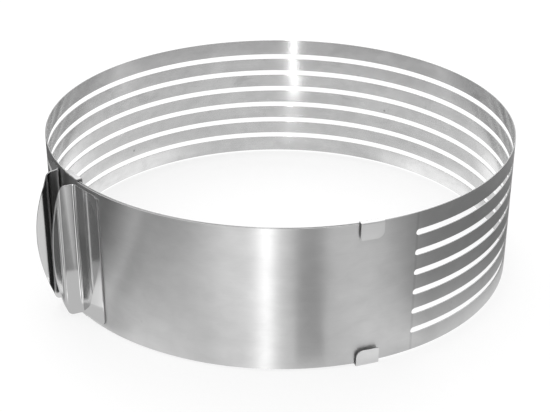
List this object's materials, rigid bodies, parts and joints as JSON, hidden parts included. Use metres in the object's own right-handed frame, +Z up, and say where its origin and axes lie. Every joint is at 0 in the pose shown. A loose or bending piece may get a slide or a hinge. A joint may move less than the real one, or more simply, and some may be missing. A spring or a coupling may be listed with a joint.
{
  "type": "adjustable cake ring",
  "caption": "Adjustable stainless cake ring that laps over itself, with level slots that guide a knife through even layers and two folded grips that set the diameter.",
  "frame": {"origin": "on the ring's axis, at the level of the lowest folded ears", "axes": "+Z up along the ring's axis, -Y towards the plain lapped front, +X to the right seen from the front"},
  "size_m": [0.2387, 0.2391, 0.0736],
  "materials": {
    "band_steel": "rolled satin stainless sheet",
    "grip_steel": "bright polished stainless sheet"
  },
  "bodies": {
    "outer_leaf_1": {"outer_leaf_1": "band_steel", "outer_grip": "grip_steel"},
    "outer_leaf_2": {"outer_leaf_2": "band_steel"},
    "outer_leaf_3": {"outer_leaf_3": "band_steel"},
    "outer_leaf_4": {"outer_leaf_4": "band_steel"},
    "outer_leaf_5": {"outer_leaf_5": "band_steel"},
    "slotted_band_01": {"slotted_band_01": "band_steel"},
    "slotted_band_02": {"slotted_band_02": "band_steel"},
    "slotted_band_03": {"slotted_band_03": "band_steel"},
    "slotted_band_04": {"slotted_band_04": "band_steel"},
    "slotted_band_05": {"slotted_band_05": "band_steel"},
    "slotted_band_06": {"slotted_band_06": "band_steel"},
    "slotted_band_07": {"slotted_band_07": "band_steel"},
    "slotted_band_08": {"slotted_band_08": "band_steel"},
    "slotted_band_09": {"slotted_band_09": "band_steel"},
    "slotted_band_10": {"slotted_band_10": "band_steel"},
    "slotted_band_11": {"slotted_band_11": "band_steel"},
    "slotted_band_12": {"slotted_band_12": "band_steel"},
    "slotted_band_13": {"slotted_band_13": "band_steel"},
    "slotted_band_14": {"slotted_band_14": "band_steel"},
    "slotted_band_15": {"slotted_band_15": "band_steel"},
    "inner_leaf_1": {"inner_leaf_1": "band_steel", "inner_grip": "grip_steel"},
    "inner_leaf_2": {"inner_leaf_2": "band_steel"},
    "inner_leaf_3": {"inner_leaf_3": "band_steel"},
    "inner_leaf_4": {"inner_leaf_4": "band_steel"},
    "inner_leaf_5": {"inner_leaf_5": "band_steel"}
  },
  "joints": [
    {"name": "ring_adjust", "type": "hinge", "parent": "slotted_band_09", "child": "slotted_band_08", "pos_m": [0.0226, 0.11696, 0.0368], "axis": [0, 0, 1], "range_deg": [-0.16, 2.51]},
    {"name": "bend_slotted_band_07", "type": "hinge", "parent": "slotted_band_08", "child": "slotted_band_07", "pos_m": [0.05708, 0.10461, 0.0368], "axis": [0, 0, 1], "range_deg": [-0.16, 2.51]},
    {"name": "bend_slotted_band_06", "type": "hinge", "parent": "slotted_band_07", "child": "slotted_band_06", "pos_m": [0.08619, 0.08237, 0.0368], "axis": [0, 0, 1], "range_deg": [-0.16, 2.51]},
    {"name": "bend_slotted_band_05", "type": "hinge", "parent": "slotted_band_06", "child": "slotted_band_05", "pos_m": [0.10718, 0.05232, 0.0368], "axis": [0, 0, 1], "range_deg": [-0.16, 2.51]},
    {"name": "bend_slotted_band_04", "type": "hinge", "parent": "slotted_band_05", "child": "slotted_band_04", "pos_m": [0.11806, 0.0173, 0.0368], "axis": [0, 0, 1], "range_deg": [-0.16, 2.51]},
    {"name": "bend_slotted_band_03", "type": "hinge", "parent": "slotted_band_04", "child": "slotted_band_03", "pos_m": [0.11778, -0.01938, 0.0368], "axis": [0, 0, 1], "range_deg": [-0.16, 2.5]},
    {"name": "bend_slotted_band_02", "type": "hinge", "parent": "slotted_band_03", "child": "slotted_band_02", "pos_m": [0.10638, -0.05426, 0.0368], "axis": [0, 0, 1], "range_deg": [-0.16, 2.5]},
    {"name": "bend_slotted_band_01", "type": "hinge", "parent": "slotted_band_02", "child": "slotted_band_01", "pos_m": [0.08491, -0.08404, 0.0368], "axis": [0, 0, 1], "range_deg": [-0.16, 2.5]},
    {"name": "bend_outer_leaf_5", "type": "hinge", "parent": "slotted_band_01", "child": "outer_leaf_5", "pos_m": [0.05539, -0.1059, 0.0368], "axis": [0, 0, 1], "range_deg": [-0.15, 2.45]},
    {"name": "bend_outer_leaf_4", "type": "hinge", "parent": "outer_leaf_5", "child": "outer_leaf_4", "pos_m": [0.02207, -0.11751, 0.0368], "axis": [0, 0, 1], "range_deg": [-0.15, 2.4]},
    {"name": "bend_outer_leaf_3", "type": "hinge", "parent": "outer_leaf_4", "child": "outer_leaf_3", "pos_m": [-0.0132, -0.11888, 0.0368], "axis": [0, 0, 1], "range_deg": [-0.15, 2.4]},
    {"name": "bend_outer_leaf_2", "type": "hinge", "parent": "outer_leaf_3", "child": "outer_leaf_2", "pos_m": [-0.04735, -0.10989, 0.0368], "axis": [0, 0, 1], "range_deg": [-0.15, 2.39]},
    {"name": "bend_outer_leaf_1", "type": "hinge", "parent": "outer_leaf_2", "child": "outer_leaf_1", "pos_m": [-0.0774, -0.09132, 0.0368], "axis": [0, 0, 1], "range_deg": [-0.15, 2.37]},
    {"name": "bend_slotted_band_10", "type": "hinge", "parent": "slotted_band_09", "child": "slotted_band_10", "pos_m": [-0.01399, 0.11825, 0.0368], "axis": [0, 0, -1], "range_deg": [-0.16, 2.51]},
    {"name": "bend_slotted_band_11", "type": "hinge", "parent": "slotted_band_10", "child": "slotted_band_11", "pos_m": [-0.04922, 0.10837, 0.0368], "axis": [0, 0, -1], "range_deg": [-0.16, 2.52]},
    {"name": "bend_slotted_band_12", "type": "hinge", "parent": "slotted_band_11", "child": "slotted_band_12", "pos_m": [-0.07978, 0.08826, 0.0368], "axis": [0, 0, -1], "range_deg": [-0.16, 2.52]},
    {"name": "bend_slotted_band_13", "type": "hinge", "parent": "slotted_band_12", "child": "slotted_band_13", "pos_m": [-0.10277, 0.05984, 0.0368], "axis": [0, 0, -1], "range_deg": [-0.16, 2.52]},
    {"name": "bend_slotted_band_14", "type": "hinge", "parent": "slotted_band_13", "child": "slotted_band_14", "pos_m": [-0.11605, 0.02579, 0.0368], "axis": [0, 0, -1], "range_deg": [-0.16, 2.52]},
    {"name": "bend_slotted_band_15", "type": "hinge", "parent": "slotted_band_14", "child": "slotted_band_15", "pos_m": [-0.11835, -0.01067, 0.0368], "axis": [0, 0, -1], "range_deg": [-0.16, 2.52]},
    {"name": "bend_inner_leaf_1", "type": "hinge", "parent": "slotted_band_15", "child": "inner_leaf_1", "pos_m": [-0.10947, -0.04609, 0.0368], "axis": [0, 0, -1], "range_deg": [-0.16, 2.54]},
    {"name": "bend_inner_leaf_2", "type": "hinge", "parent": "inner_leaf_1", "child": "inner_leaf_2", "pos_m": [-0.09001, -0.07742, 0.0368], "axis": [0, 0, -1], "range_deg": [-0.16, 2.55]},
    {"name": "bend_inner_leaf_3", "type": "hinge", "parent": "inner_leaf_2", "child": "inner_leaf_3", "pos_m": [-0.06189, -0.10126, 0.0368], "axis": [0, 0, -1], "range_deg": [-0.16, 2.55]},
    {"name": "bend_inner_leaf_4", "type": "hinge", "parent": "inner_leaf_3", "child": "inner_leaf_4", "pos_m": [-0.02782, -0.11532, 0.0368], "axis": [0, 0, -1], "range_deg": [-0.16, 2.56]},
    {"name": "bend_inner_leaf_5", "type": "hinge", "parent": "inner_leaf_4", "child": "inner_leaf_5", "pos_m": [0.00889, -0.11825, 0.0368], "axis": [0, 0, -1], "range_deg": [-0.16, 2.56]}
  ],
  "couplings": [
    {"joint": "bend_slotted_band_07", "follows": "ring_adjust", "ratio": 0.99934},
    {"joint": "bend_slotted_band_06", "follows": "ring_adjust", "ratio": 0.99868},
    {"joint": "bend_slotted_band_05", "follows": "ring_adjust", "ratio": 0.99803},
    {"joint": "bend_slotted_band_04", "follows": "ring_adjust", "ratio": 0.99737},
    {"joint": "bend_slotted_band_03", "follows": "ring_adjust", "ratio": 0.99671},
    {"joint": "bend_slotted_band_02", "follows": "ring_adjust", "ratio": 0.99606},
    {"joint": "bend_slotted_band_01", "follows": "ring_adjust", "ratio": 0.9954},
    {"joint": "bend_outer_leaf_5", "follows": "ring_adjust", "ratio": 0.97461},
    {"joint": "bend_outer_leaf_4", "follows": "ring_adjust", "ratio": 0.95385},
    {"joint": "bend_outer_leaf_3", "follows": "ring_adjust", "ratio": 0.95325},
    {"joint": "bend_outer_leaf_2", "follows": "ring_adjust", "ratio": 0.95265},
    {"joint": "bend_outer_leaf_1", "follows": "ring_adjust", "ratio": 0.94185},
    {"joint": "bend_slotted_band_10", "follows": "ring_adjust", "ratio": 1.0007},
    {"joint": "bend_slotted_band_11", "follows": "ring_adjust", "ratio": 1.0013},
    {"joint": "bend_slotted_band_12", "follows": "ring_adjust", "ratio": 1.002},
    {"joint": "bend_slotted_band_13", "follows": "ring_adjust", "ratio": 1.0026},
    {"joint": "bend_slotted_band_14", "follows": "ring_adjust", "ratio": 1.0033},
    {"joint": "bend_slotted_band_15", "follows": "ring_adjust", "ratio": 1.004},
    {"joint": "bend_inner_leaf_1", "follows": "ring_adjust", "ratio": 1.01},
    {"joint": "bend_inner_leaf_2", "follows": "ring_adjust", "ratio": 1.016},
    {"joint": "bend_inner_leaf_3", "follows": "ring_adjust", "ratio": 1.0166},
    {"joint": "bend_inner_leaf_4", "follows": "ring_adjust", "ratio": 1.0173},
    {"joint": "bend_inner_leaf_5", "follows": "ring_adjust", "ratio": 1.0181}
  ]
}
